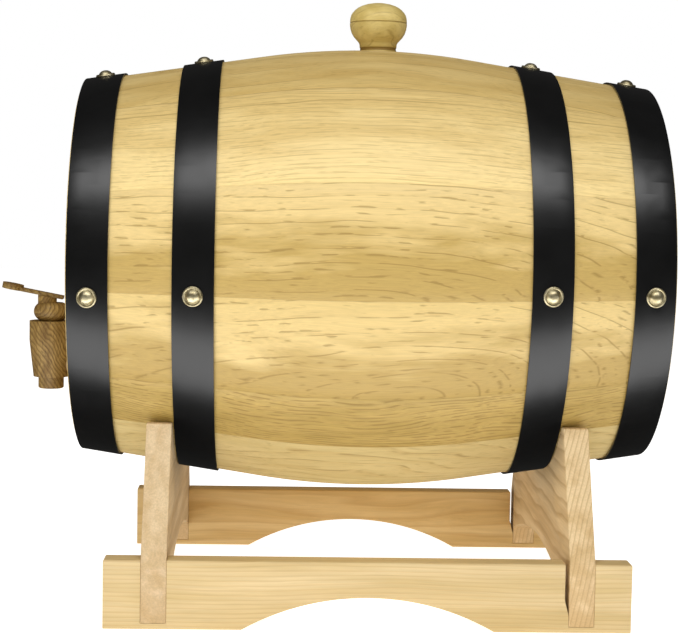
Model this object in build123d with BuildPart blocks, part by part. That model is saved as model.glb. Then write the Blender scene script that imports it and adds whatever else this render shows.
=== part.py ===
from build123d import *
from math import cos, radians, sin, sqrt, tan
import os

# A small oak wine barrel lying on a pine cradle stand, with a turned bung and a wooden tap.
# The barrel lies along X with its tap at the -X end. The viewer's side is -Y and +Z is up.
# The origin is on the floor, in the middle of the whole object. All sizes are in millimetres.

# Barrel shell
axis_height = 184.0          # centre line of the barrel above the floor
stave_length = 320.0
bilge_radius = 125.0         # outside of the staves at mid length
end_radius = 104.8           # outside of the staves at their ends
taper_angle = 8.8            # slope of the straight outer thirds of a stave, in degrees
stave_thickness = 14.0
chime_width = 11.0           # bevel on the inside of a stave's end
chime_depth = 6.0
croze_width = 5.2            # groove that holds the head
croze_depth = 4.0
croze_setback = 23.0         # from the stave's end to the middle of the groove
croze_gap = 0.1              # between the head's tongue and the bottom of the groove
stave_angles = [26, 24, 30, 28.5, 25.5, 17, 27, 26, 24, 28, 25, 27, 24, 28]  # from the top stave on

# Heads
head_thickness = 12.0
tongue_thickness = 5.0
tongue_start_radius = 92.7
bevel_start_radius = 87.0
board_count = 5
board_width = 39.0
tap_hole_overrun = 1.0       # the tap hole is cut this far past both faces of the head

# Hoops and their nails
hoop_thickness = 1.2
hoop_edges = {"quarter": (82.2, 104.2), "head": (137.6, 159.5)}  # distances from mid length
# each hoop's nails stand this far round from the quarter points, in degrees
nail_turns = {"quarter_left": 5.5, "head_left": 7.0, "quarter_right": 4.2, "head_right": 4.6}
nails_per_hoop = 4
nail_head_radius = 5.4
nail_head_height = 3.2
nail_shank_radius = 1.1
nail_shank_length = 9.0
nail_point_length = 2.0

# Bung
bung_offset = 6.0            # the bung hole is a little to the right of mid length
bung_neck_height = 4.4       # neck seen between the knob and the staves
bung_neck_radius = 10.6
bung_neck_flare = 0.3        # the neck is this much wider where it meets the knob
bung_tip_radius = 9.2
bung_plug_length = 20.0
bung_knob_outline = [(14.4, 3.9), (16.4, 11.2), (14.7, 17.2), (12.1, 19.8), (6.5, 22.2)]
bung_knob_height = 22.9

# Tap
tap_standoff = 19.9          # vertical axis of the tap beyond the staves' ends
stem_drop = 57.4             # stem below the barrel's centre line
stem_radius = 5.95
stem_tip_radius = 5.0
stem_reach = 42.0            # from the staves' ends to the stem's inner end
stem_bore_radius = 2.2
tap_radius = 12.5
tap_top = 150.9
tap_shoulder = 139.6         # lower end of the straight part of the body
cone_bottom = 118.7
cone_bottom_radius = 10.1
spout_bottom = 111.9
spout_radius = 7.3
spout_bore_radius = 3.8
spout_rounding = 0.7
plug_top_radius = 6.3
plug_bottom_radius = 5.3
plug_bottom = 121.0          # the key's tapered plug ends here
plug_seat_depth = 0.5        # space left under the plug
socket_wall = 2.0            # wood between the plug and the end of the stem
bead_gap = 0.3               # the bead clears the top of the body
bead_top = 161.4
bead_radius = 10.1
bead_flat_radius = 6.6
key_neck_radius = 5.4
key_neck_offset = 2.4        # the neck stands a little outside the bead's middle
tenon_radius = 2.5
port_radius = 1.9            # bore from the plug's end up to the cross bore
port_overrun = 1.0           # the two bores run this far past each other's middle
lever_reach = 28.4           # outer end of the lever from the tap's axis
lever_tail = 6.7             # inner end of the lever from the tap's axis
lever_height = 164.6         # underside of the lever at the tap's axis
lever_tilt = 10.5            # the outer end stands up by this many degrees
lever_width = 8.0
lever_thickness = 2.0
lever_pad_radius = 6.1
lever_pad_thickness = 3.4
running_clearance = 0.08     # between a tapered plug and its seat

# Stand
rail_length = 275.5
rail_height = 36.2
rail_thickness = 14.0
stand_width = 240.0          # over the outer faces of the two rails
arch_width = 131.8
arch_rise = 17.4
cradle_offset = 111.6        # middle of a cradle board from mid length
cradle_thickness = 13.4
slot_floor = 3.0             # wood left under a cradle board in the rail
slot_relief = 2.2            # the right slots are this much too wide at the top
relief_corner = 17.5         # height where the wide part starts to narrow
relief_end = 9.0
horn_top = 103.0
horn_inset = 32.9            # the top of a horn stands in from the rail's face
saddle_clearance = 0.4
underside_edge = 13.0        # height of a board's lower edge beside the rails
underside_middle = 29.0
edge_break = 0.6             # small chamfer on the rails' long edges

# The overall length runs from the lever's end to the right end of the staves, and the origin is
# in its middle, so the barrel and its stand lie a little to the right of the origin.
half_length = stave_length / 2
overall_length = stave_length + tap_standoff + lever_reach
barrel_x = overall_length / 2 - half_length
tap_x = barrel_x - half_length - tap_standoff
bung_x = barrel_x + bung_offset
stem_height = axis_height - stem_drop

# A stave's outline is an arc over the middle, tangent to a straight taper at each end.
slope = tan(radians(taper_angle))
bow_drop = bilge_radius - end_radius
bend_radius = (half_length * slope - bow_drop) / (1 / cos(radians(taper_angle)) - 1)
bend_half = bend_radius * sin(radians(taper_angle))
head_middle = half_length - croze_setback

barrel_axis = Axis((barrel_x, 0, axis_height), (1, 0, 0))
tap_axis = Axis((tap_x, 0, 0), (0, 0, 1))


def taper_radius(x):
    """Outside radius of the staves on the straight taper, at a distance from mid length."""
    return end_radius + (half_length - abs(x)) * slope


def section_plane(angle=0):
    """A plane through the barrel's centre line: local X along it and local Y outwards.

    The angle is counted from the top towards the viewer.
    """
    turn = radians(angle)
    return Plane((barrel_x, 0, axis_height), x_dir=(1, 0, 0), z_dir=(0, -cos(turn), -sin(turn)))


def nail_plane(angle, x, side):
    """A plane on a hoop's outer face, with its normal square to the sloping hoop."""
    turn = radians(angle)
    lean = radians(taper_angle)
    radius = taper_radius(x) + hoop_thickness / cos(lean)
    outwards = Vector(0, -sin(turn), cos(turn))
    origin = Vector(barrel_x + side * x, 0, axis_height) + outwards * radius
    normal = outwards * cos(lean) + Vector(side, 0, 0) * sin(lean)
    return Plane(origin, x_dir=(0, -cos(turn), -sin(turn)), z_dir=normal)


def save(part, name):
    part.label = name
    export_step(part, f"parts/{name}.step")


os.makedirs("parts", exist_ok=True)

# Staves: each one is a slice of the shell, with a groove and a bevel inside each end.
bend_end = taper_radius(bend_half)
chime_start = half_length - chime_width
groove_top = taper_radius(head_middle) - stave_thickness
bung_taper = (bung_neck_radius - bung_tip_radius) / bung_plug_length
bung_hole_start = axis_height + bilge_radius + bung_neck_height
bung_hole_end = axis_height + bilge_radius - bung_plug_length
bung_hole_radius = bung_neck_radius + running_clearance

start_angle = -stave_angles[0] / 2
for number, width in enumerate(stave_angles, start=1):
    with BuildPart() as stave:
        with BuildSketch(section_plane(start_angle)):
            with BuildLine():
                outer_bend = ThreePointArc(
                    (-bend_half, bend_end), (0, bilge_radius), (bend_half, bend_end)
                )
                inner_bend = ThreePointArc(
                    (-bend_half, bend_end - stave_thickness),
                    (0, bilge_radius - stave_thickness),
                    (bend_half, bend_end - stave_thickness),
                )
                for side, end in ((-1, 0), (1, 1)):
                    Polyline(
                        outer_bend @ end,
                        (side * half_length, end_radius),
                        (side * half_length, end_radius - stave_thickness + chime_depth),
                        (side * chime_start, taper_radius(chime_start) - stave_thickness),
                        inner_bend @ end,
                    )
            make_face()
            with Locations((head_middle, groove_top), (-head_middle, groove_top)):
                Rectangle(croze_width, 2 * croze_depth, mode=Mode.SUBTRACT)
        revolve(axis=barrel_axis, revolution_arc=width)
        if number == 1:
            # The bung hole narrows inwards, so that the tapered plug wedges in it.
            with Locations(Location((bung_x, 0, bung_hole_end))):
                Cone(
                    bung_hole_radius - bung_taper * bung_plug_length,
                    bung_hole_radius + bung_taper * bung_neck_height,
                    bung_hole_start - bung_hole_end,
                    align=(Align.CENTER, Align.CENTER, Align.MIN),
                    mode=Mode.SUBTRACT,
                )
    save(stave.part, f"stave_{number:02d}")
    start_angle += width

# Heads: a bevelled disc with a tongue round its edge, cut into boards.
tongue_radius = groove_top + croze_depth - croze_gap
stem_taper = (stem_radius - stem_tip_radius) / stem_reach
hole_start = croze_setback - head_thickness / 2 - tap_hole_overrun
hole_length = head_thickness + 2 * tap_hole_overrun
for side, side_name in ((-1, "left"), (1, "right")):
    with BuildPart() as head:
        with BuildSketch(section_plane()):
            with BuildLine():
                Polyline(
                    (side * head_middle - head_thickness / 2, 0),
                    (side * head_middle - head_thickness / 2, bevel_start_radius),
                    (side * head_middle - tongue_thickness / 2, tongue_start_radius),
                    (side * head_middle - tongue_thickness / 2, tongue_radius),
                    (side * head_middle + tongue_thickness / 2, tongue_radius),
                    (side * head_middle + tongue_thickness / 2, tongue_start_radius),
                    (side * head_middle + head_thickness / 2, bevel_start_radius),
                    (side * head_middle + head_thickness / 2, 0),
                    close=True,
                )
            make_face()
        revolve(axis=barrel_axis)
        if side == -1:
            # Tap hole with the same taper as the stem.
            hole_radius = stem_radius - stem_taper * hole_start + running_clearance
            hole_x = barrel_x - half_length + hole_start
            with Locations(Plane((hole_x, 0, stem_height), z_dir=(1, 0, 0))):
                Cone(
                    hole_radius,
                    hole_radius - stem_taper * hole_length,
                    hole_length,
                    align=(Align.CENTER, Align.CENTER, Align.MIN),
                    mode=Mode.SUBTRACT,
                )
    for index in range(board_count):
        board_y = (index - (board_count - 1) / 2) * board_width
        with BuildPart() as board:
            add(head.part)
            with Locations((barrel_x + side * head_middle, board_y, axis_height)):
                Box(2 * head_thickness, board_width, 2 * bilge_radius, mode=Mode.INTERSECT)
        save(board.part, f"head_{side_name}_board_{index + 1}")

# Hoops: bands of steel strip with punched holes, each held by domed nails driven into the staves.
with BuildPart() as nail:
    with BuildSketch(Plane.XZ):
        with BuildLine():
            Polyline(
                (0, nail_head_height),
                (0, -nail_shank_length),
                (nail_shank_radius, nail_point_length - nail_shank_length),
                (nail_shank_radius, 0),
                (nail_head_radius, 0),
            )
            RadiusArc(
                (nail_head_radius, 0),
                (0, nail_head_height),
                -(nail_head_radius**2 + nail_head_height**2) / (2 * nail_head_height),
            )
        make_face()
    revolve(axis=Axis.Z)

hoop_rise = hoop_thickness / cos(radians(taper_angle))
for side, side_name in ((-1, "left"), (1, "right")):
    for hoop_name, (inner_x, outer_x) in hoop_edges.items():
        front_angle = 90 + nail_turns[f"{hoop_name}_{side_name}"]
        nail_places = [
            nail_plane(front_angle + 360 / nails_per_hoop * i, (inner_x + outer_x) / 2, side)
            for i in range(nails_per_hoop)
        ]
        with BuildPart() as hoop:
            with BuildSketch(section_plane()):
                with BuildLine():
                    Polyline(
                        (side * inner_x, taper_radius(inner_x)),
                        (side * outer_x, taper_radius(outer_x)),
                        (side * outer_x, taper_radius(outer_x) + hoop_rise),
                        (side * inner_x, taper_radius(inner_x) + hoop_rise),
                        close=True,
                    )
                make_face()
            revolve(axis=barrel_axis)
            with Locations(*nail_places):
                Cylinder(nail_shank_radius, nail_shank_length, mode=Mode.SUBTRACT)
        save(hoop.part, f"hoop_{hoop_name}_{side_name}")
        with BuildPart() as nails:
            with Locations(*nail_places):
                add(nail.part)
        save(nails.part, f"nails_{hoop_name}_{side_name}")

# Bung: a turned knob on a short neck, over the tapered plug.
bilge_top = axis_height + bilge_radius
knob_bottom = bilge_top + bung_neck_height
with BuildPart() as bung:
    with BuildSketch(Plane.XZ.move(Location((bung_x, 0, 0)))):
        with BuildLine():
            Polyline(
                (0, knob_bottom + bung_knob_height),
                (0, bilge_top - bung_plug_length),
                (bung_tip_radius, bilge_top - bung_plug_length),
                (bung_neck_radius, bilge_top),
                (bung_neck_radius + bung_neck_flare, knob_bottom),
            )
            Spline(
                (bung_neck_radius + bung_neck_flare, knob_bottom),
                *[(radius, knob_bottom + height) for radius, height in bung_knob_outline],
                (0, knob_bottom + bung_knob_height),
                tangents=((1, 0.8), (-1, 0)),
            )
        make_face()
    revolve(axis=Axis((bung_x, 0, 0), (0, 0, 1)))
save(bung.part, "bung")

# Tap body: turned, with a tapered seat for the key and a bore down the spout.
tap_plane = Plane.XZ.move(Location((tap_x, 0, 0)))
plug_taper = (plug_top_radius - plug_bottom_radius) / (tap_top - plug_bottom)
seat_bottom = plug_bottom - plug_seat_depth
seat_top_radius = plug_top_radius + running_clearance
seat_bottom_radius = seat_top_radius - plug_taper * (tap_top - seat_bottom)
socket_end = plug_top_radius + socket_wall
with BuildPart() as tap_body:
    with BuildSketch(tap_plane):
        with BuildLine():
            Polyline(
                (seat_top_radius, tap_top),
                (tap_radius, tap_top),
                (tap_radius, tap_shoulder),
                (cone_bottom_radius, cone_bottom),
                (spout_radius, cone_bottom),
                (spout_radius, spout_bottom + spout_rounding),
                (spout_radius - spout_rounding, spout_bottom),
                (spout_bore_radius, spout_bottom),
                (spout_bore_radius, seat_bottom),
                (seat_bottom_radius, seat_bottom),
                close=True,
            )
        make_face()
    revolve(axis=tap_axis)
    with Locations(Plane((tap_x + socket_end, 0, stem_height), z_dir=(1, 0, 0))):
        Cylinder(
            stem_radius,
            tap_radius,
            align=(Align.CENTER, Align.CENTER, Align.MIN),
            mode=Mode.SUBTRACT,
        )
    with Locations(Plane((tap_x, 0, stem_height), z_dir=(1, 0, 0))):
        Cylinder(
            stem_bore_radius,
            tap_radius,
            align=(Align.CENTER, Align.CENTER, Align.MIN),
            mode=Mode.SUBTRACT,
        )
save(tap_body.part, "tap_body")

# Stem: glued into the body, straight up to the staves' ends and then tapered for the tap hole.
straight_length = tap_standoff - socket_end
with BuildPart() as tap_stem:
    with BuildSketch(Plane((tap_x + socket_end, 0, stem_height), x_dir=(1, 0, 0), z_dir=(0, -1, 0))):
        with BuildLine():
            Polyline(
                (0, stem_bore_radius),
                (0, stem_radius),
                (straight_length, stem_radius),
                (straight_length + stem_reach, stem_tip_radius),
                (straight_length + stem_reach, stem_bore_radius),
                close=True,
            )
        make_face()
    revolve(axis=Axis((tap_x, 0, stem_height), (1, 0, 0)))
save(tap_stem.part, "tap_stem")

# Key: a tapered plug with a bead and a neck. Its port joins the stem's bore to the spout.
bead_bottom = tap_top + bead_gap
bead_side = (bead_bottom + bead_top) / 2
lean = radians(lever_tilt)
lever_plane = Plane(
    (tap_x, 0, lever_height), x_dir=(-cos(lean), 0, sin(lean)), z_dir=(sin(lean), 0, cos(lean))
)
with BuildPart() as tap_key:
    with BuildSketch(tap_plane):
        with BuildLine():
            Polyline(
                (0, bead_top),
                (0, plug_bottom),
                (plug_bottom_radius, plug_bottom),
                (plug_top_radius, tap_top),
                (plug_top_radius, bead_bottom),
                (bead_flat_radius, bead_bottom),
            )
            ThreePointArc(
                (bead_flat_radius, bead_bottom), (bead_radius, bead_side), (bead_flat_radius, bead_top)
            )
            Line((bead_flat_radius, bead_top), (0, bead_top))
        make_face()
    revolve(axis=tap_axis)
    with BuildSketch(Plane.XY.offset(bead_side)):
        with Locations((tap_x - key_neck_offset, 0)):
            Circle(key_neck_radius)
    extrude(amount=2 * lever_pad_radius)
    split(bisect_by=lever_plane, keep=Keep.BOTTOM)
    with BuildSketch(lever_plane):
        with Locations((key_neck_offset, 0)):
            Circle(tenon_radius)
    extrude(amount=lever_thickness)
    with Locations(Location((tap_x, 0, plug_bottom))):
        Cylinder(
            port_radius,
            stem_height - plug_bottom + port_overrun,
            align=(Align.CENTER, Align.CENTER, Align.MIN),
            mode=Mode.SUBTRACT,
        )
    with Locations(Plane((tap_x - port_overrun, 0, stem_height), z_dir=(1, 0, 0))):
        Cylinder(
            stem_bore_radius,
            2 * plug_top_radius,
            align=(Align.CENTER, Align.CENTER, Align.MIN),
            mode=Mode.SUBTRACT,
        )
save(tap_key.part, "tap_key")

# Lever: a thin strip with a round thumb pad, on the tenon of the neck.
pad_x = lever_reach / cos(lean) - lever_pad_radius
with BuildPart() as tap_lever:
    with BuildSketch(lever_plane):
        with Locations((-lever_tail, 0)):
            Rectangle(lever_tail + pad_x, lever_width, align=(Align.MIN, Align.CENTER))
        with Locations((pad_x, 0)):
            Circle(lever_pad_radius)
        with Locations((key_neck_offset, 0)):
            Circle(tenon_radius, mode=Mode.SUBTRACT)
    extrude(amount=lever_thickness)
    with BuildSketch(lever_plane):
        with Locations((pad_x, 0)):
            Circle(lever_pad_radius)
    extrude(amount=lever_pad_thickness)
save(tap_lever.part, "tap_lever")

# Rails: an arch underneath, and a slot from above for each cradle board. The slots of the right
# board are too wide at the top, on the side towards the middle.
arch_radius = (arch_width**2 / 4 + arch_rise**2) / (2 * arch_rise)
slot_depth = rail_height - slot_floor
relief_edge = cradle_offset - cradle_thickness / 2
for rail_name, outer_y in (("front", -stand_width / 2), ("back", stand_width / 2 - rail_thickness)):
    with BuildPart() as rail:
        with BuildSketch(Plane((barrel_x, outer_y, 0), x_dir=(1, 0, 0), z_dir=(0, -1, 0))):
            Rectangle(rail_length, rail_height, align=(Align.CENTER, Align.MIN))
            with Locations((0, arch_rise - arch_radius)):
                Circle(arch_radius, mode=Mode.SUBTRACT)
        extrude(amount=-rail_thickness)
        chamfer(rail.faces().sort_by(Axis.Z)[-1].edges(), edge_break)
        with BuildSketch(Plane((barrel_x, outer_y, 0), x_dir=(1, 0, 0), z_dir=(0, -1, 0))):
            with Locations((-cradle_offset, slot_floor), (cradle_offset, slot_floor)):
                Rectangle(cradle_thickness, slot_depth, align=(Align.CENTER, Align.MIN))
            with BuildLine():
                Polyline(
                    (relief_edge, relief_end),
                    (relief_edge, rail_height),
                    (relief_edge - slot_relief, rail_height),
                    (relief_edge - slot_relief, relief_corner),
                    close=True,
                )
            make_face()
        extrude(amount=-rail_thickness, mode=Mode.SUBTRACT)
    save(rail.part, f"rail_{rail_name}")

# Cradle boards: two horns with a round saddle between them, and an arched underside.
rail_face = stand_width / 2
inner_face = rail_face - rail_thickness
saddle_radius = taper_radius(cradle_offset - cradle_thickness / 2) + saddle_clearance
saddle_edge = sqrt(saddle_radius**2 - (axis_height - horn_top) ** 2)
for side, side_name in ((-1, "left"), (1, "right")):
    board_start = barrel_x + side * cradle_offset - cradle_thickness / 2
    with BuildPart() as cradle:
        with BuildSketch(Plane.YZ.offset(board_start)):
            with BuildLine():
                ThreePointArc(
                    (-saddle_edge, horn_top),
                    (0, axis_height - saddle_radius),
                    (saddle_edge, horn_top),
                )
                ThreePointArc(
                    (-inner_face, underside_edge), (0, underside_middle), (inner_face, underside_edge)
                )
                for end in (-1, 1):
                    Polyline(
                        (end * saddle_edge, horn_top),
                        (end * (rail_face - horn_inset), horn_top),
                        (end * rail_face, rail_height),
                        (end * rail_face, slot_floor),
                        (end * inner_face, slot_floor),
                        (end * inner_face, underside_edge),
                    )
            make_face()
        extrude(amount=cradle_thickness)
    save(cradle.part, f"cradle_{side_name}")
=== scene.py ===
import math
import bpy
from mathutils import Matrix, Vector


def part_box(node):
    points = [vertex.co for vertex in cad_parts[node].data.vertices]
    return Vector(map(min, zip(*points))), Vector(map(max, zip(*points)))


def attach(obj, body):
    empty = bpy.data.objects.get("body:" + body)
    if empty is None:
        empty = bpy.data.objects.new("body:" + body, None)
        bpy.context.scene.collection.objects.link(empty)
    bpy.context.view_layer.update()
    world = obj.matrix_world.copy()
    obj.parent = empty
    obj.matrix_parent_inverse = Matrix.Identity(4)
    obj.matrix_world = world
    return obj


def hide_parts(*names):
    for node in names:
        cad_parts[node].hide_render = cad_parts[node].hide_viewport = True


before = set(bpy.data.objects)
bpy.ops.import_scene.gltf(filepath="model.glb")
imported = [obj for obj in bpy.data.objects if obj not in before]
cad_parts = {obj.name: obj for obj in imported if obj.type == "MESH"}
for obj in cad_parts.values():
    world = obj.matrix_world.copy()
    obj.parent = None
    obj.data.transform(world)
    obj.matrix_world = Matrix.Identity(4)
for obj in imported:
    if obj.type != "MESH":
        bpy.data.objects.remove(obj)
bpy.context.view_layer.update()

mm = 0.001
mergeGap = 0.01 * mm     # points closer together than this become one

# places read from the frame
topStaveLow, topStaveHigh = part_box("stave_01")
hoopLow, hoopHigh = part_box("hoop_head_left")
barrelX = (topStaveLow[0] + topStaveHigh[0]) / 2
barrelZ = (hoopLow[2] + hoopHigh[2]) / 2
halfLength = (topStaveHigh[0] - topStaveLow[0]) / 2
bilge = topStaveHigh[2] - barrelZ       # outside radius at mid length


def middleOf(name):
    low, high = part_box(name)
    return [(low[i] + high[i]) / 2 for i in range(3)]


bungX = middleOf("bung")[0]


# modelling helpers
def onlySelect(piece):
    if bpy.context.object and bpy.context.object.mode != "OBJECT":
        bpy.ops.object.mode_set(mode="OBJECT")
    bpy.ops.object.select_all(action="DESELECT")
    if piece:
        piece.select_set(True)
        bpy.context.view_layer.objects.active = piece


def applyModifiers(piece):
    onlySelect(piece)
    for modifier in list(piece.modifiers):
        bpy.ops.object.modifier_apply(modifier=modifier.name)


def bevelEdges(piece, width, segments=2, angle=40):
    modifier = piece.modifiers.new("edgeBevel", "BEVEL")
    modifier.width = width
    modifier.segments = segments
    modifier.limit_method = "ANGLE"
    modifier.angle_limit = math.radians(angle)
    applyModifiers(piece)


def smooth(piece, angle):
    # edges that turn by more than this many degrees stay sharp
    onlySelect(piece)
    bpy.ops.object.shade_smooth_by_angle(angle=math.radians(angle))


def settle(piece):
    # leaves the piece at the origin, unturned and unscaled
    onlySelect(piece)
    bpy.ops.object.transform_apply(location=True, rotation=True, scale=True)


def closeShell():
    # in edit mode: merges the seams and poles, turns the faces outwards and leaves edit mode
    bpy.ops.mesh.select_all(action="SELECT")
    bpy.ops.mesh.remove_doubles(threshold=mergeGap)
    bpy.ops.mesh.normals_make_consistent(inside=False)
    bpy.ops.object.mode_set(mode="OBJECT")


def turned(name, outline, steps):
    # a turned piece about Z: rings of (radius, height) are extruded one after another
    onlySelect(None)
    radius, height = outline[0]
    bpy.ops.mesh.primitive_circle_add(
        vertices=steps, radius=radius, fill_type="NOTHING", location=(0, 0, height)
    )
    piece = bpy.context.object
    piece.name = name
    settle(piece)
    bpy.ops.object.mode_set(mode="EDIT")
    bpy.ops.mesh.select_all(action="SELECT")
    bpy.ops.mesh.edge_face_add()
    for nextRadius, nextHeight in outline[1:]:
        bpy.ops.mesh.extrude_region_move(
            TRANSFORM_OT_translate={"value": (0, 0, nextHeight - height)}
        )
        scale = nextRadius / radius
        bpy.ops.transform.resize(value=(scale, scale, 1), center_override=(0, 0, nextHeight))
        radius, height = nextRadius, nextHeight
    closeShell()
    return piece


def copyOfNode(name, newName):
    # a merged copy of a CAD node, to be given eased edges
    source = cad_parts[name]
    piece = bpy.data.objects.new(newName, source.data.copy())
    piece.data.materials.clear()
    bpy.context.scene.collection.objects.link(piece)
    onlySelect(piece)
    bpy.ops.object.mode_set(mode="EDIT")
    bpy.ops.mesh.select_all(action="SELECT")
    bpy.ops.mesh.remove_doubles(threshold=mergeGap)
    flatWithin = math.radians(0.4)       # faces this near to one plane become one face
    bpy.ops.mesh.dissolve_limited(angle_limit=flatWithin)
    bpy.ops.object.mode_set(mode="OBJECT")
    for attribute in [a for a in piece.data.attributes if a.name == "custom_normal"]:
        piece.data.attributes.remove(attribute)
    return piece


def joined(name, pieces):
    onlySelect(pieces[0])
    for piece in pieces[1:]:
        piece.select_set(True)
    bpy.ops.object.join()
    pieces[0].name = name
    return pieces[0]


def placed(piece, matrix):
    # the place goes into the mesh, and the object stays at the origin
    piece.data.transform(matrix)
    piece.data.update()
    return piece


def grainPoints(piece, place):
    # stores, for every vertex, where it lies in its own board: along, across, depth
    layer = piece.data.attributes.new("grain", "FLOAT_VECTOR", "POINT")
    for index, vert in enumerate(piece.data.vertices):
        layer.data[index].vector = place(vert.co)


def boardGrain(axis, origin):
    # along is the board's grain axis, and the other two follow as across and depth
    def place(co):
        p = co - Vector(origin)
        if axis == "X":
            return (p.x, p.z, p.y)
        if axis == "Y":
            return (p.y, p.z, p.x)
        return (p.z, p.y, p.x)
    return place


def finishPiece(piece, body, nodeName, material, slotName):
    piece.data.materials.clear()
    piece.data.materials.append(material)
    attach(piece, body)
    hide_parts(nodeName)


# material helpers
def linear(hexColour):
    values = [int(hexColour[i:i + 2], 16) / 255 for i in (1, 3, 5)]
    return [v / 12.92 if v <= 0.04045 else ((v + 0.055) / 1.055) ** 2.4 for v in values] + [1.0]


def addNode(tree, kind, settings=None, **inputs):
    # An input is a value, a socket, or a node whose first output is linked. "in0" is the first input, and
    # the setting "stops" fills a colour ramp with places and their hex colours or grey levels.
    node = tree.nodes.new("ShaderNode" + kind)
    for key, value in (settings or {}).items():
        if key == "stops":
            elements = node.color_ramp.elements
            while len(elements) < len(value):
                elements.new(0.5)
            for element, (position, colour) in zip(elements, value):
                element.position = position
                element.color = linear(colour) if isinstance(colour, str) else [colour] * 3 + [1]
        else:
            setattr(node, key, value)
    for key, value in inputs.items():
        socket = node.inputs[int(key[2:]) if key[2:].isdigit() else key]
        if isinstance(value, bpy.types.Node):
            value = value.outputs[0]
        if isinstance(value, bpy.types.NodeSocket):
            tree.links.new(value, socket)
        else:
            socket.default_value = value
    return node


def newMaterial(name):
    material = bpy.data.materials.new(name)
    material.use_nodes = True
    tree = material.node_tree
    tree.nodes.clear()
    return material, tree


def cellScale(size):
    # one pattern cell is this many mm long along the grain, and this many wide across it
    length, width = size
    return (1 / (length * mm), 1 / (width * mm), 1 / (width * mm))


# what the nodes that work with numbers, vectors and colours do
plus = {"operation": "ADD"}
minus = {"operation": "SUBTRACT"}
times = {"operation": "MULTIPLY"}
over = {"operation": "DIVIDE"}
timesPlus = {"operation": "MULTIPLY_ADD"}
largest = {"operation": "MAXIMUM"}
fraction = {"operation": "FRACT"}
noSign = {"operation": "ABSOLUTE"}
squareRoot = {"operation": "SQRT"}
angleOf = {"operation": "ARCTAN2"}
mixed = {"data_type": "RGBA", "blend_type": "MIX"}
darkened = {"data_type": "RGBA", "blend_type": "MULTIPLY"}


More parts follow.
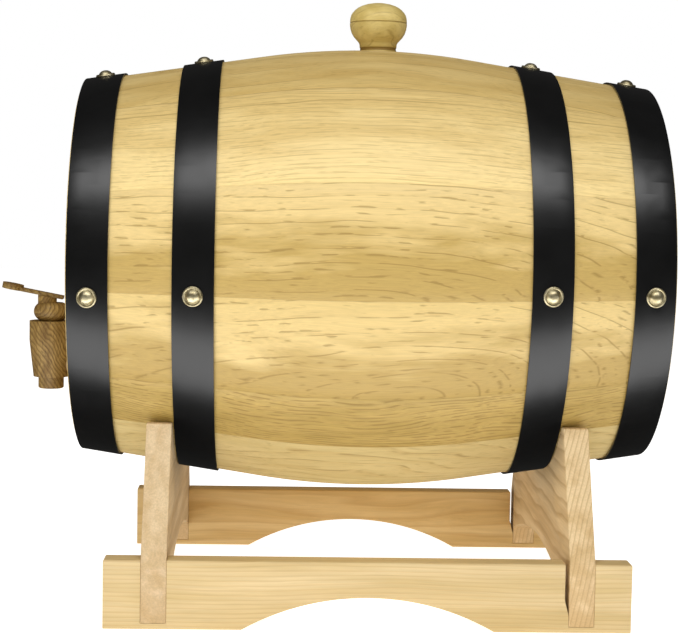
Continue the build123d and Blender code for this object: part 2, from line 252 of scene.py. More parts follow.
def wood(name, look):
    # Sawn solid wood, worked out from the board's own grain points (along, across, depth), so that the
    # rings run straight through the board and meet face, edge and end grain as they do in a real one.
    material, tree = newMaterial(name)
    grain = addNode(tree, "Attribute", {"attribute_type": "GEOMETRY", "attribute_name": "grain"})
    grain = grain.outputs["Vector"]
    alongBoard, acrossBoard, depthInBoard = addNode(tree, "SeparateXYZ", in0=grain).outputs
    moved = addNode(tree, "Mapping", Vector=grain, Location=look["shift"])

    # the fibres wander: slow bends over the whole board
    cells = addNode(tree, "Mapping", Vector=moved, Scale=cellScale(look["wanderSize"]))
    wander = addNode(tree, "TexNoise", Vector=cells, Scale=1.0, Detail=2.0, Roughness=0.45)
    offset = addNode(tree, "VectorMath", minus, in0=wander.outputs["Color"], in1=(0.5, 0.5, 0.5))
    reach = look["wander"] * mm
    offset = addNode(tree, "VectorMath", times, in0=offset, in1=(0.0, reach, reach))
    point = addNode(tree, "VectorMath", plus, in0=moved, in1=offset)

    # growth rings round a leaning pith
    pointParts = addNode(tree, "SeparateXYZ", in0=point).outputs
    squares = []
    for index in (0, 1):
        start = look["pith"][index] * mm + look["shift"][index + 1]
        pith = addNode(tree, "Math", timesPlus, in0=alongBoard, in1=look["lean"][index], in2=start)
        away = addNode(tree, "Math", minus, in0=pointParts[index + 1], in1=pith)
        squares.append(addNode(tree, "Math", times, in0=away, in1=away))
    radius = addNode(tree, "Math", plus, in0=squares[0], in1=squares[1])
    radius = addNode(tree, "Math", squareRoot, in0=radius)
    phase = addNode(tree, "Math", over, in0=radius, in1=look["ring"] * mm)
    phase = addNode(tree, "Math", fraction, in0=phase)
    ringBand = addNode(tree, "ValToRGB", {"stops": look["band"]}, Fac=phase)

    # pores: short dashes along the grain, crowded in the early part of each ring
    cells = addNode(tree, "Mapping", Vector=point, Scale=cellScale(look["poreSize"]))
    pores = addNode(tree, "TexVoronoi", {"feature": "F1"}, Vector=cells, Scale=1.0, Randomness=1.0)
    core, edge = look["poreEdge"]
    poreMark = addNode(tree, "ValToRGB", {"stops": [(core, 1.0), (edge, 0.0)]},
                       Fac=pores.outputs["Distance"])
    keep = addNode(tree, "SeparateColor", in0=pores.outputs["Color"])
    keep = addNode(tree, "ValToRGB", {"stops": [(look["poreSkip"], 0.0), (1.0, 1.0)]}, Fac=keep)
    poreMark = addNode(tree, "Math", times, in0=poreMark, in1=keep)
    inBand = addNode(tree, "Math", timesPlus, in0=ringBand, in1=1 - look["poreEven"],
                     in2=look["poreEven"])
    poreMark = addNode(tree, "Math", times, in0=poreMark, in1=inBand)
    darkMark = addNode(tree, "Math", times, in0=poreMark, in1=look["poreStrength"])

    # broken dark lines that follow the edge of a ring, and shorter dashes between them
    for kind, spacing in (("line", look["ring"]), ("dash", look["dashRing"])):
        band, start = look[kind + "Band"], look[kind + "From"]
        inRing = addNode(tree, "Math", over, in0=radius, in1=spacing * mm)
        inRing = addNode(tree, "Math", fraction, in0=inRing)
        mark = addNode(tree, "ValToRGB", {"stops": [(0.0, 0.0), (band / 2, 1.0), (band, 0.0)]},
                       Fac=inRing)
        cells = addNode(tree, "Mapping", Vector=point, Scale=cellScale(look[kind + "Size"]))
        there = addNode(tree, "TexNoise", Vector=cells, Scale=1.0, Detail=1.5, Roughness=0.5)
        there = addNode(tree, "ValToRGB", {"stops": [(start, 0.0), (start + look["fade"], 1.0)]},
                        Fac=there)
        mark = addNode(tree, "Math", times, in0=mark, in1=there)
        mark = addNode(tree, "Math", times, in0=mark, in1=look[kind + "Strength"])
        darkMark = addNode(tree, "Math", largest, in0=darkMark, in1=mark)

    # thin dark traces parallel to a stave's joints: degrees from its middle, strength, waviness
    for angle, strength, wave in look["traces"]:
        fromAxis = addNode(tree, "Math", plus, in0=depthInBoard, in1=bilge)
        swing = addNode(tree, "Math", angleOf, in0=acrossBoard, in1=fromAxis)
        cells = addNode(tree, "Mapping", Vector=moved, Scale=cellScale(look["traceSize"]))
        bend = addNode(tree, "TexNoise", Vector=cells, Scale=1.0, Detail=3.0)
        shift = addNode(tree, "Math", timesPlus, in0=bend, in1=math.radians(wave),
                        in2=-math.radians(angle + wave / 2))
        away = addNode(tree, "Math", plus, in0=swing, in1=shift)
        away = addNode(tree, "Math", noSign, in0=away)
        away = addNode(tree, "Math", over, in0=away, in1=look["traceWidth"])
        trace = addNode(tree, "ValToRGB", {"stops": [(0.3, strength), (1.0, 0.0)]}, Fac=away)
        broken = addNode(tree, "ValToRGB", {"stops": [(0.3, 1.0), (0.75, 0.35)]}, Fac=bend)
        trace = addNode(tree, "Math", times, in0=trace, in1=broken)
        darkMark = addNode(tree, "Math", largest, in0=darkMark, in1=trace)

    # painted shade: dark rings at a height, for a painted shadow where a plug meets its hole and painted
    # shade in a groove: height and half width in mm, strength
    for level, halfWidth, strength in look["paintedShadeRings"]:
        away = addNode(tree, "Math", minus, in0=acrossBoard, in1=level * mm)
        away = addNode(tree, "Math", noSign, in0=away)
        away = addNode(tree, "Math", over, in0=away, in1=halfWidth * mm)
        shadeRing = addNode(tree, "ValToRGB", {"stops": [(0.45, strength), (1.0, 0.0)]}, Fac=away)
        darkMark = addNode(tree, "Math", largest, in0=darkMark, in1=shadeRing)

    # fibres, and a slow drift of tone over the board; the tone also tilts across the board, partly the
    # wood's own tone and partly painted shade
    cells = addNode(tree, "Mapping", Vector=point, Scale=cellScale(look["fibreSize"]))
    fibre = addNode(tree, "TexNoise", Vector=cells, Scale=1.0, Detail=4.0, Roughness=0.62)
    cells = addNode(tree, "Mapping", Vector=point, Scale=cellScale(look["driftSize"]))
    drift = addNode(tree, "TexNoise", Vector=cells, Scale=1.0, Detail=3.0)
    tone = addNode(tree, "Math", timesPlus, in0=acrossBoard, in1=look["toneAndShadeTilt"] / (look["tiltWidth"] * mm),
                   in2=drift)
    lightTo, midFrom = look["toneRange"]
    base = addNode(tree, "ValToRGB", {"stops": [(lightTo, look["light"]), (midFrom, look["mid"])]},
                   Fac=tone)
    ringAmount = addNode(tree, "Math", times, in0=ringBand, in1=look["ringStrength"])
    base = addNode(tree, "Mix", mixed, in0=ringAmount, in6=base, in7=linear(look["ringColour"]))
    streak = addNode(tree, "ValToRGB", {"stops": [(0.3, 1 - look["fibreStrength"]), (0.7, 1.0)]},
                     Fac=fibre)
    base = addNode(tree, "Mix", darkened, in0=1.0, in6=base.outputs[2], in7=streak)
    colour = addNode(tree, "Mix", mixed, in0=darkMark, in6=base.outputs[2],
                     in7=linear(look["poreColour"]))

    # pores and lines are cut in, and are rougher than the wood between them
    height = addNode(tree, "Math", times, in0=fibre, in1=look["fibreRelief"])
    height = addNode(tree, "Math", minus, in0=height, in1=darkMark)
    bump = addNode(tree, "Bump", Strength=look["bump"], Distance=look["bumpDepth"] * mm, Height=height)
    rough = addNode(tree, "Math", timesPlus, in0=fibre, in1=look["fibreRough"], in2=look["roughness"])
    rough = addNode(tree, "Math", timesPlus, in0=darkMark, in1=look["poreRough"], in2=rough)
    shader = addNode(tree, "BsdfPrincipled", in0=colour.outputs[2], IOR=look["ior"], Roughness=rough,
                     Normal=bump)
    addNode(tree, "OutputMaterial", Surface=shader)
    return material


# Planed oak under a satin lacquer: warm straw colour, ring lines, and open pores as darker dashes. Every
# size is (along, across) in mm, and other lengths are in mm too, except the shift, which is in metres.
# Real pores are about 0.3 mm wide, and are drawn wider here so that they show.
oakLook = {
    "shift": (0.0, 0.0, 0.0),                                   # gives each board a figure of its own
    "light": "#E9CC88", "mid": "#DDBD76", "toneRange": (0.36, 0.64), "driftSize": (70, 14),
    # the tilt below darkens a board towards one edge: partly the wood's own tone, partly painted shade
    "toneAndShadeTilt": 0.0, "tiltWidth": 30,                               # how the tone changes over the width
    "ring": 4.2, "ringColour": "#C29E57", "ringStrength": 0.30,     # ring spacing
    "band": [(0.0, 0.15), (0.08, 1.0), (0.42, 0.3), (0.95, 0.0)],   # how dark one ring is from its start
    "pith": (0.0, -60.0), "lean": (0.0, 0.0),                   # the rings' centre, and how it leans
    "wander": 16.0, "wanderSize": (85, 30),
    "poreSize": (8.0, 1.3), "poreEdge": (0.16, 0.42),
    "poreSkip": 0.45, "poreEven": 0.10,                         # share left out, share outside the bands
    "poreColour": "#856828", "poreStrength": 0.5, "poreRough": 0.2,
    "lineSize": (34, 3.2), "lineBand": 0.2, "lineFrom": 0.5, "lineStrength": 0.5, "fade": 0.07,
    "dashRing": 1.9, "dashSize": (17, 1.5), "dashBand": 0.5, "dashFrom": 0.55, "dashStrength": 0.6,
    "traces": [], "traceWidth": 0.006, "traceSize": (45, 30), "paintedShadeRings": [],      # trace width in radians
    "fibreSize": (26, 0.8), "fibreStrength": 0.15, "fibreRelief": 0.3, "fibreRough": 0.12,
    "bump": 0.45, "bumpDepth": 0.2, "ior": 1.4, "roughness": 0.42,
}

# Planed pine with no finish: paler and duller than the oak, soft bands and no visible pores.
pineLook = dict(
    oakLook, light="#DEC592", mid="#D2B77F", ring=2.3, ringColour="#BE9656", ringStrength=0.36,
    band=[(0.0, 0.0), (0.55, 0.10), (0.86, 1.0), (0.97, 0.0)], pith=(80.0, -30.0),
    wander=7.0, wanderSize=(120, 24), poreStrength=0.0, lineStrength=0.0, dashStrength=0.0,
    fibreStrength=0.13, fibreSize=(30, 0.9), bump=0.2, driftSize=(120, 9), roughness=0.5,
)

# staves: bent oak, lying side by side round the barrel, the first one on top with the bung hole
staveSet = {
    "taper": math.radians(8.8), "endRadius": 104.8 * mm, "thickness": 14 * mm,
    "chimeWidth": 11 * mm, "chimeDepth": 6 * mm,
    "crozeWidth": 5.2 * mm, "crozeDepth": 4 * mm, "crozeSetback": 23 * mm,
    "bungHole": [(9.2 * mm, -30 * mm), (10.9 * mm, 6 * mm)],    # radius and height of the cutter's ends
    "flatten": 0.06, "seamEase": 0.15 * mm, "sliceDegrees": 3.0, "bendSegments": 14,
}
taper = staveSet["taper"]
endRadius = staveSet["endRadius"]
bendRadius = (halfLength * math.tan(taper) - (bilge - endRadius)) / (1 / math.cos(taper) - 1)
bendHalf = bendRadius * math.sin(taper)


def staveRadius(x):
    # outside radius at a distance from mid length: a straight taper, tangent to an arc in the middle
    away = abs(x)
    if away < bendHalf:
        return bilge - bendRadius + math.sqrt(bendRadius ** 2 - away ** 2)
    return endRadius + (halfLength - away) * math.tan(taper)


def staveOutline():
    # the long section of a stave as (x, radius) points, once round
    s = staveSet
    segments = s["bendSegments"]
    bend = [bendHalf * (2 * i / segments - 1) for i in range(segments + 1)]
    chimeStart = halfLength - s["chimeWidth"]
    grooveIn = halfLength - s["crozeSetback"] - s["crozeWidth"] / 2
    grooveOut = grooveIn + s["crozeWidth"]
    outer = [(-halfLength, endRadius)] + [(x, staveRadius(x)) for x in bend] + [(halfLength, endRadius)]
    inner = [(halfLength, endRadius - s["thickness"] + s["chimeDepth"])]
    for x, drop in ((chimeStart, 0), (grooveOut, 0), (grooveOut, s["crozeDepth"]),
                    (grooveIn, s["crozeDepth"]), (grooveIn, 0)):
        inner.append((x, staveRadius(x) - s["thickness"] + drop))
    middle = [(x, staveRadius(x) - s["thickness"]) for x in reversed(bend)]
    return outer + inner + middle + [(-x, r) for x, r in reversed(inner)]


def makeStave(name, startDegrees, widthDegrees):
    outline = staveOutline()
    onlySelect(None)
    bpy.ops.mesh.primitive_circle_add(vertices=len(outline), radius=bilge, fill_type="NGON",
                                      location=(barrelX, 0, barrelZ))
    piece = bpy.context.object
    piece.name = name
    settle(piece)
    turn = math.radians(startDegrees)
    for vert, (x, r) in zip(piece.data.vertices, outline):
        vert.co = (barrelX + x, -r * math.sin(turn), barrelZ + r * math.cos(turn))
    bpy.ops.object.mode_set(mode="EDIT")
    bpy.ops.mesh.select_all(action="SELECT")
    steps = round(widthDegrees / staveSet["sliceDegrees"])
    bpy.ops.mesh.spin(steps=steps, angle=-math.radians(widthDegrees), center=(barrelX, 0, barrelZ),
                      axis=(1, 0, 0))
    closeShell()
    # each stave is planed a little flatter than a true round
    middle = math.radians(startDegrees + widthDegrees / 2)
    half = math.radians(widthDegrees / 2)
    for vert in piece.data.vertices:
        y, z = vert.co.y, vert.co.z - barrelZ
        r = math.hypot(y, z)
        swing = (math.atan2(-y, z) - middle + math.pi) % (2 * math.pi) - math.pi
        aboveChord = r * (1 - math.cos(half) / math.cos(swing))
        r -= staveSet["flatten"] * aboveChord
        vert.co.y = -r * math.sin(middle + swing)
        vert.co.z = barrelZ + r * math.cos(middle + swing)
    return piece, middle


def cutBungHole(stave):
    cutter = turned("bungHoleCutter", staveSet["bungHole"], 64)
    cutter.location = (bungX, 0, barrelZ + bilge)
    settle(cutter)
    cut = stave.modifiers.new("bungHole", "BOOLEAN")
    cut.object = cutter
    cut.operation = "DIFFERENCE"
    cut.solver = "EXACT"
    applyModifiers(stave)
    bpy.data.objects.remove(cutter)


def staveGrain(middle):
    # a stave is sawn from a straight board, so its grain points are plain distances in that board
    def place(co):
        y, z = co.y, co.z - barrelZ
        across = -y * math.cos(middle) - z * math.sin(middle)
        depth = -y * math.sin(middle) + z * math.cos(middle) - bilge
        return (co.x - barrelX, across, depth)
    return place


# figures beside the plain one: crowded dashes, close fine grain, and arches cut near the pith
dense = {"dashFrom": 0.46, "dashSize": (16, 1.5), "dashRing": 1.8, "dashStrength": 0.75,
         "fibreStrength": 0.2}
fine = {"ring": 2.9, "poreEven": 0.05, "wander": 9.0, "lineStrength": 0.3, "ringStrength": 0.16,
        "dashStrength": 0.3, "dashRing": 1.6, "lineBand": 0.35}
arched = {"ring": 7.0, "dashRing": 3.5, "wander": 7.0, "wanderSize": (60, 26), "ringStrength": 0.14,
          "lineSize": (20, 4), "lineBand": 0.11, "lineFrom": 0.44, "lineStrength": 0.6,
          "dashSize": (13, 2.0), "dashFrom": 0.57, "poreStrength": 0.3}
# from the top stave down the front and up the back: width in degrees, light and mid tone, the pith's
# place (across, depth) in mm, its lean (across, depth) along the board, and changes to the look
staveBoards = [
    (26, "#E0C484", "#D0B16B", (10, -45), (0.03, 0.10), {"dashStrength": 0.25}),
    (24, "#DDC07C", "#D0B069", (90, 25), (0.0, 0.0),
     {"ring": 16.0, "dashStrength": 0.3, "lineStrength": 0.7, "lineSize": (220, 12), "lineBand": 0.05,
      "lineFrom": 0.4}),
    # staves 3 to 5 are darker towards one edge, stave 3 at the top and staves 4 and 5 at the bottom:
    # partly their own tone, partly painted shade where the light falls off
    (30, "#F6DB98", "#E4C681", (80, -14), (0.0, 0.0),
     dict(fine, toneAndShadeTilt=-0.2, traces=[(-15.0, 0.75, 0.0), (-10.0, 0.6, 2.5)])),
    (28.5, "#ECD08E", "#C4A65F", (40, -1), (0.0, 0.2), dict(arched, toneAndShadeTilt=0.38)),
    (25.5, "#E6CA86", "#BC9E56", (28, -9), (0.0, 0.33), dict(arched, toneAndShadeTilt=0.36, ring=8.0)),
    (17, "#C6A85D", "#B5984C", (80, -60), (0.0, 0.0), dense),
    (27, "#DDC78A", "#D0B97A", (-30, -60), (0.02, 0.05), {"dashStrength": 0.3}),
    (26, "#DFC285", "#D0AF6C", (20, -50), (0.02, 0.02), {}),
    (24, "#E9CD8C", "#D8B670", (-70, -20), (0.01, 0.01), fine),
    (28, "#DCBE7C", "#CCAA64", (10, -12), (0.0, 0.25), arched),
    (25, "#EBD192", "#DEBF7A", (55, -35), (0.04, 0.02), {}),
    (27, "#D8BA78", "#C8A660", (-12, -42), (0.02, 0.01), dense),
    (24, "#E8CD8E", "#D8B772", (80, -25), (0.01, 0.01), fine),
    (28, "#E2C686", "#D3B16B", (-8, -55), (0.02, 0.01), {}),
]
startDegrees = -staveBoards[0][0] / 2
for number, (width, light, mid, pith, lean, change) in enumerate(staveBoards, start=1):
    piece, middle = makeStave(f"oakStave{number:02d}", startDegrees, width)
    if number == 1:
        cutBungHole(piece)
    bevelEdges(piece, staveSet["seamEase"])
    smooth(piece, 25)
    grainPoints(piece, staveGrain(middle))
    look = dict(oakLook, light=light, mid=mid, pith=pith, lean=lean,
                shift=(0.31 * number, 0.17 * number, 0.0))      # no two staves share a figure
    look.update(change)
    material = wood(f"oakStaveWood{number:02d}", look)
    finishPiece(piece, "barrel", f"stave_{number:02d}", material, "oak_staves")
    startDegrees += width
print("staves", len(staveBoards))


# heads: edge-joined boards with eased edges, the right head's tones and figure in another order
headSet = {
    "ease": 0.4 * mm, "mid": "#CFAE6A", "pithAcross": (-18, 30, -45, 8, 60), "pithDepth": -42,
    "tones": ["#DCC084", "#E6CC90", "#D8BA7A", "#E3C88A", "#D5B776"],
}
for sideName, turn in (("left", 0), ("right", 3)):
    for index in range(5):
        name = f"head_{sideName}_board_{index + 1}"
        piece = copyOfNode(name, f"oakHead_{sideName}{index + 1}")
        bevelEdges(piece, headSet["ease"])
        smooth(piece, 30)
        grainPoints(piece, boardGrain("Z", middleOf(name)))
        order = (index + turn) % 5
        look = dict(oakLook, light=headSet["tones"][order], mid=headSet["mid"],
                    pith=(headSet["pithAcross"][order], headSet["pithDepth"]),
                    lean=(0.03 * (index - 2), 0.06), shift=(1.3 * index, 2.1 + turn, 0.0))
        material = wood(f"oakHeadWood_{sideName}{index + 1}", look)
        finishPiece(piece, "barrel", name, material, "oak_heads")
print("heads")


# hoops: cold-rolled steel strip
hoopSet = {
    "ease": 0.3 * mm, "peelSize": 1.6 * mm, "hazeSize": 22 * mm, "bump": 0.06, "bumpDepth": 0.1 * mm,
    "dark": "#080808", "dusty": "#0C0C0C", "roughness": 0.27, "hazeRough": 0.10, "ior": 1.5,
}


def satinPaint(name):
    # Baked satin black enamel: near black, with soft highlights, a faint orange peel and a little haze.
    material, tree = newMaterial(name)
    place = addNode(tree, "TexCoord").outputs["Object"]
    peel = addNode(tree, "TexNoise", Vector=place, Scale=1 / hoopSet["peelSize"], Detail=2.0)
    haze = addNode(tree, "TexNoise", Vector=place, Scale=1 / hoopSet["hazeSize"], Detail=4.0)
    colour = addNode(tree, "ValToRGB", {"stops": [(0.3, hoopSet["dark"]), (0.7, hoopSet["dusty"])]},
                     Fac=haze)
    bump = addNode(tree, "Bump", Strength=hoopSet["bump"], Distance=hoopSet["bumpDepth"], Height=peel)
    rough = addNode(tree, "Math", timesPlus, in0=haze, in1=hoopSet["hazeRough"],
                    in2=hoopSet["roughness"])
    shader = addNode(tree, "BsdfPrincipled", in0=colour, IOR=hoopSet["ior"], Roughness=rough,
                     Normal=bump)
    addNode(tree, "OutputMaterial", Surface=shader)
    return material


blackPaint = satinPaint("blackSatinPaint")
for sideName in ("left", "right"):
    for hoopName in ("quarter", "head"):
        name = f"hoop_{hoopName}_{sideName}"
        piece = copyOfNode(name, f"steelHoop_{hoopName}_{sideName}")
        bevelEdges(piece, hoopSet["ease"], 3, 50)
        smooth(piece, 30)
        finishPiece(piece, "barrel", name, blackPaint, "black_hoops")
print("hoops")


# nails: pressed brass heads with a rolled rim, four round each hoop
nailSet = {
    "shankRadius": 1.1, "shankLength": 9.0, "tipLength": 2.0, "tipRadius": 0.1, "steps": 40,
    "turn": {"quarter_left": 95.5, "head_left": 97.0, "quarter_right": 94.2, "head_right": 94.6},
    "fromMiddle": {"quarter": 93.2, "head": 148.55}, "hoopThickness": 1.2,
    "head": [(5.4, 0.0), (5.4, 0.55), (5.2, 0.95), (4.85, 1.15), (4.5, 1.1), (4.2, 0.85), (3.95, 0.85),
             (3.75, 1.15), (3.35, 1.8), (2.6, 2.5), (1.7, 2.95), (0.8, 3.16), (0.0, 3.2)],
    "patinaSize": 3.0 * mm, "hammerSize": 1.8 * mm, "bump": 0.35, "bumpDepth": 0.25 * mm,
    "dull": "#A3946A", "rubbed": "#E4D8B2", "roughness": 0.36, "patinaRough": 0.2,
}


def antiqueBrass(name):
    # Antique brass: a warm metal, dull brown in patches and lighter where it has been rubbed.
    material, tree = newMaterial(name)
    place = addNode(tree, "TexCoord").outputs["Object"]
    patina = addNode(tree, "TexNoise", Vector=place, Scale=1 / nailSet["patinaSize"], Detail=4.0)
    hammer = addNode(tree, "TexNoise", Vector=place, Scale=1 / nailSet["hammerSize"], Detail=1.0)
    colour = addNode(tree, "ValToRGB", {"stops": [(0.3, nailSet["dull"]), (0.62, nailSet["rubbed"])]},
                     Fac=patina)
    bump = addNode(tree, "Bump", Strength=nailSet["bump"], Distance=nailSet["bumpDepth"],
                   Height=hammer)
    rough = addNode(tree, "Math", timesPlus, in0=patina, in1=nailSet["patinaRough"],
                    in2=nailSet["roughness"])
    shader = addNode(tree, "BsdfPrincipled", in0=colour, Metallic=1.0, Roughness=rough, Normal=bump)
    addNode(tree, "OutputMaterial", Surface=shader)
    return material


shank = [(nailSet["tipRadius"], -nailSet["shankLength"]),
         (nailSet["shankRadius"], nailSet["tipLength"] - nailSet["shankLength"]),
         (nailSet["shankRadius"], 0.0)]
nailModel = turned("nailModel", [(r * mm, h * mm) for r, h in shank + nailSet["head"]], nailSet["steps"])
brass = antiqueBrass("antiqueBrass")
for side, sideName in ((-1, "left"), (1, "right")):
    for hoopName, fromMiddle in nailSet["fromMiddle"].items():
        away = fromMiddle * mm
        lift = endRadius + (halfLength - away) * math.tan(taper)
        lift += nailSet["hoopThickness"] * mm / math.cos(taper)
        copies = []
        for index in range(4):
            turn = math.radians(nailSet["turn"][f"{hoopName}_{sideName}"] + 90 * index)
            outwards = Vector((0, -math.sin(turn), math.cos(turn)))
            normal = outwards * math.cos(taper) + Vector((side, 0, 0)) * math.sin(taper)
            acrossAxis = Vector((0, -math.cos(turn), -math.sin(turn)))
            matrix = Matrix((acrossAxis, normal.cross(acrossAxis), normal)).transposed().to_4x4()
            matrix.translation = Vector((barrelX + side * away, 0, barrelZ)) + outwards * lift
            copy = nailModel.copy()
            copy.data = nailModel.data.copy()
            bpy.context.scene.collection.objects.link(copy)
            copies.append(placed(copy, matrix))
        piece = joined(f"brassNails_{hoopName}_{sideName}", copies)
        smooth(piece, 40)
        finishPiece(piece, "barrel", f"nails_{hoopName}_{sideName}", brass, "brass_nails")
bpy.data.objects.remove(nailModel)
print("nails")


# bung: a turned knob over a tapered plug, with a painted shadow at the neck where it meets the barrel and
# painted shade in the groove round the knob
bungSet = {
    "plug": [(8.6, -20.0), (9.2, -19.4), (10.6, -0.2)],
    "neck": [(10.3, 0.3), (10.3, 1.5), (10.6, 1.8), (10.7, 3.6)],
    "knob": [(11.2, 4.7), (12.4, 6.0), (14.0, 7.8), (15.2, 9.8), (16.0, 12.2), (16.35, 14.4),
             (16.38, 15.4), (16.1, 15.6), (16.1, 15.85), (16.38, 16.1), (16.2, 18.2), (15.7, 20.2),
             (14.8, 21.7), (13.4, 23.2), (11.9, 24.4), (9.8, 25.5), (6.8, 26.5), (3.4, 27.1),
             (0.0, 27.3)],
    "steps": 72,
}
bungLook = dict(
    oakLook, light="#DCC57C", mid="#CDB468", ring=5.5, pith=(-22, -30), lean=(0.1, 0.05),
    poreStrength=0.3, dashStrength=0.18, lineStrength=0.35, wander=9.0, wanderSize=(20, 14),
    fibreStrength=0.10, driftSize=(9, 9), poreColour="#7A5C20", roughness=0.4,
    # the painted shade: a shadow ring at the neck's foot, and a fainter one in the knob's groove
    paintedShadeRings=[(0.8, 1.3, 0.9), (15.75, 0.5, 0.5)], ringColour="#B09650", ringStrength=0.18,
)
rings = [(r * mm, h * mm) for key in ("plug", "neck", "knob") for r, h in bungSet[key]]
bungPlace = (bungX, 0, barrelZ + bilge)
piece = turned("turnedBung", rings, bungSet["steps"])
placed(piece, Matrix.Translation(bungPlace))
smooth(piece, 50)
grainPoints(piece, boardGrain("X", bungPlace))
finishPiece(piece, "bung", "bung", wood("turnedBungWood", bungLook), "turned_bung")
print("bung")


# tap: turned and carved hardwood, oiled dark brown with strong streaks, on a paler stem
tapSet = {"ease": 0.35 * mm}
tapLook = dict(
    oakLook, light="#BC9B58", mid="#8E6E34", ring=2.3, ringColour="#664518", ringStrength=0.75,
    band=[(0.0, 0.0), (0.3, 0.2), (0.7, 1.0), (0.95, 0.1)], pith=(6, 60), lean=(0.0, -0.65),
    wander=6.0, wanderSize=(16, 9), poreSize=(6.0, 0.9), poreEven=0.4, poreSkip=0.2,
    poreColour="#4A3116", poreStrength=0.7, fibreSize=(12, 0.8), fibreStrength=0.3, driftSize=(22, 6),
    lineStrength=0.4, lineSize=(12, 4), bump=0.5, roughness=0.45,
)
for name, body, axis, slotName, change in (
    ("tap_body", "tap", "Z", "tap_wood", {"shift": (0.4, 0.1, 0.0)}),
    ("tap_key", "key", "Z", "tap_wood",
     {"shift": (0.9, 0.6, 0.0), "lean": (0.3, 0.5), "pith": (20, 30)}),
    ("tap_lever", "key", "X", "tap_wood",
     {"shift": (1.6, 0.2, 0.0), "light": "#A08448", "mid": "#7E6030"}),
    ("tap_stem", "tap", "X", "tap_stem_wood",
     {"shift": (2.2, 0.7, 0.0), "light": "#D2B688", "mid": "#BFA070", "ringColour": "#A5845A",
      "poreColour": "#7E6238", "ringStrength": 0.4}),
):
    piece = copyOfNode(name, "wooden_" + name)
    bevelEdges(piece, tapSet["ease"])
    smooth(piece, 35)
    grainPoints(piece, boardGrain(axis, middleOf(name)))
    finishPiece(piece, body, name, wood(name + "Wood", dict(tapLook, **change)), slotName)
print("tap")


# stand: two rails and two cradle boards
standSet = {"ease": 0.5 * mm}
for name, axis, slotName, look in (
    ("rail_front", "X", "pine_rails", dict(pineLook, shift=(0.2, 0.0, 0.0))),
    ("rail_back", "X", "pine_rails",
     dict(pineLook, shift=(0.9, 0.3, 0.0), pith=(26.0, -26.0), ring=6.0, light="#DDBF86", mid="#CFAD6F",
          ringColour="#B58A48", wander=16.0)),
    # the cradles' tilt is painted shade: each cradle is darker towards the bottom
    ("cradle_left", "Y", "pine_cradles",
     dict(pineLook, shift=(1.7, 0.5, 0.0), pith=(10.0, 90.0), ring=14.0, ringStrength=0.2,
          fibreStrength=0.22, light="#E6CCA2", mid="#D0B284", toneAndShadeTilt=-0.1)),
    ("cradle_right", "Y", "pine_cradles",
     dict(pineLook, shift=(2.4, 0.8, 0.0), pith=(-150.0, 560.0), ring=2.5, ringStrength=0.6,
          ringColour="#B5905A", wander=3.0, wanderSize=(60, 40), fibreStrength=0.16, light="#EACFA0",
          mid="#D3B380", toneAndShadeTilt=-0.1)),
):
    piece = copyOfNode(name, "pine_" + name)
    bevelEdges(piece, standSet["ease"])
    smooth(piece, 30)
    piece.visible_glossy = False      # the hoops' paint keeps its deep black beside the pale boards
    grainPoints(piece, boardGrain(axis, middleOf(name)))
    finishPiece(piece, "stand", name, wood("pine_" + name, look), slotName)
print("stand")


# floor: matt white laminate, a little lit from below
floorSet = {"size": 8, "drop": 0.3 * mm, "colour": "#F2F0ED", "roughness": 0.7, "glow": 0.9,
            "glowColour": (1.0, 0.99, 0.98, 1.0)}
onlySelect(None)
bpy.ops.mesh.primitive_plane_add(size=floorSet["size"], location=(0, 0, -floorSet["drop"]))
floor = bpy.context.object
floor.name = "paleFloor"
settle(floor)
material, tree = newMaterial("whiteTabletop")
shader = addNode(tree, "BsdfPrincipled", in0=linear(floorSet["colour"]), Roughness=floorSet["roughness"])
shader.inputs["Emission Color"].default_value = floorSet["glowColour"]
shader.inputs["Emission Strength"].default_value = floorSet["glow"]
addNode(tree, "OutputMaterial", Surface=shader)
floor.data.materials.append(material)
floor.visible_glossy = False      # its glow doesn't wash out the dark paint


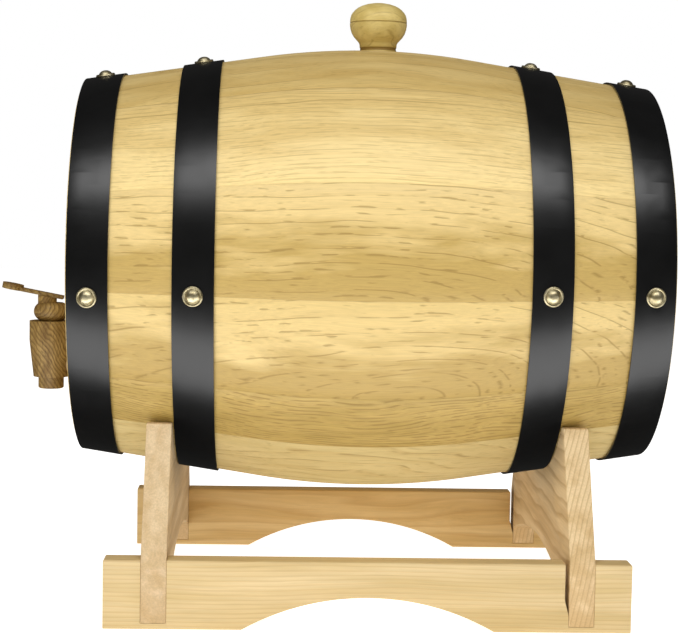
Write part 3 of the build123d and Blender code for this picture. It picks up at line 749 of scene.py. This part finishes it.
# lights, in metres and watts: a strip overhead, a low strip that only adds sheen, two fills that don't
# show in the paint, and a dim white room
lightSet = {
    "overheadStrip": {"place": (barrelX, -0.80, 1.22), "target": (barrelX, -0.1, 0.24),
                      "size": (1.6, 0.48), "power": 12.0, "hiddenFrom": None},
    "lowStrip": {"place": (barrelX, -0.24, 0.004), "target": (barrelX, -0.24, 1.0),
                 "size": (1.0, 0.2), "power": 2.1, "hiddenFrom": "diffuse"},
    "frontFill": {"place": (barrelX - 1.1, -1.5, 0.4), "target": (barrelX, 0, barrelZ),
                  "size": (0.9, 0.7), "power": 5.0, "hiddenFrom": "glossy"},
    "backFill": {"place": (barrelX, 1.1, 1.3), "target": (barrelX, 0, barrelZ),
                 "size": (1.4, 0.8), "power": 5.0, "hiddenFrom": "glossy"},
}
for name, light in lightSet.items():
    data = bpy.data.lights.new(name, "AREA")
    data.shape = "RECTANGLE"
    data.size, data.size_y = light["size"]
    data.energy = light["power"]
    holder = bpy.data.objects.new(name, data)
    bpy.context.scene.collection.objects.link(holder)
    holder.location = light["place"]
    aim = Vector(light["target"]) - Vector(light["place"])
    holder.rotation_euler = aim.to_track_quat("-Z", "Y").to_euler()
    holder.visible_camera = False
    holder.visible_diffuse = light["hiddenFrom"] != "diffuse"
    holder.visible_glossy = light["hiddenFrom"] != "glossy"

# the room is weaker by the glossy loss where it is mirrored, and plain white behind the barrel
roomSet = {"glow": 0.19, "glossyLoss": 0.8, "colour": (1, 0.98, 0.95, 1), "backdrop": (1, 1, 1, 1)}
world = bpy.data.worlds.new("studioWorld")
bpy.context.scene.world = world
world.use_nodes = True
tree = world.node_tree
tree.nodes.clear()
rays = addNode(tree, "LightPath")
glow = addNode(tree, "Math", timesPlus, in0=rays.outputs["Is Glossy Ray"],
               in1=-roomSet["glossyLoss"] * roomSet["glow"], in2=roomSet["glow"])
lit = addNode(tree, "Background", Color=roomSet["colour"], Strength=glow)
seen = addNode(tree, "Background", Color=roomSet["backdrop"], Strength=1.0)
blend = addNode(tree, "MixShader", in0=rays.outputs["Is Camera Ray"], in1=lit, in2=seen)
addNode(tree, "OutputWorld", Surface=blend)
print("lights")


# camera: angles in degrees, lens in mm
cameraSet = {
    "besideMiddle": -48.7 * mm, "distance": 1040.7 * mm, "height": 227.4 * mm,
    "turnRight": 1.94, "tiltDown": 4.05, "roll": 0.985, "lens": 95.3,
}


def makeCamera():
    c = cameraSet
    yaw, pitch, roll = (math.radians(c[key]) for key in ("turnRight", "tiltDown", "roll"))
    level = Vector((math.sin(yaw), math.cos(yaw), 0))
    forward = level * math.cos(pitch) - Vector((0, 0, math.sin(pitch)))
    right = Vector((math.cos(yaw), -math.sin(yaw), 0))
    up = right.cross(forward)
    side = right * math.cos(roll) + up * math.sin(roll)
    top = up * math.cos(roll) - right * math.sin(roll)
    data = bpy.data.cameras.new("studioCamera")
    data.lens = c["lens"]
    camera = bpy.data.objects.new("studioCamera", data)
    bpy.context.scene.collection.objects.link(camera)
    matrix = Matrix((side, top, -forward)).transposed().to_4x4()
    matrix.translation = (barrelX + c["besideMiddle"], -c["distance"], c["height"])
    camera.matrix_world = matrix
    bpy.context.scene.camera = camera


makeCamera()
bpy.context.scene.view_settings.view_transform = "Standard"
print("camera")
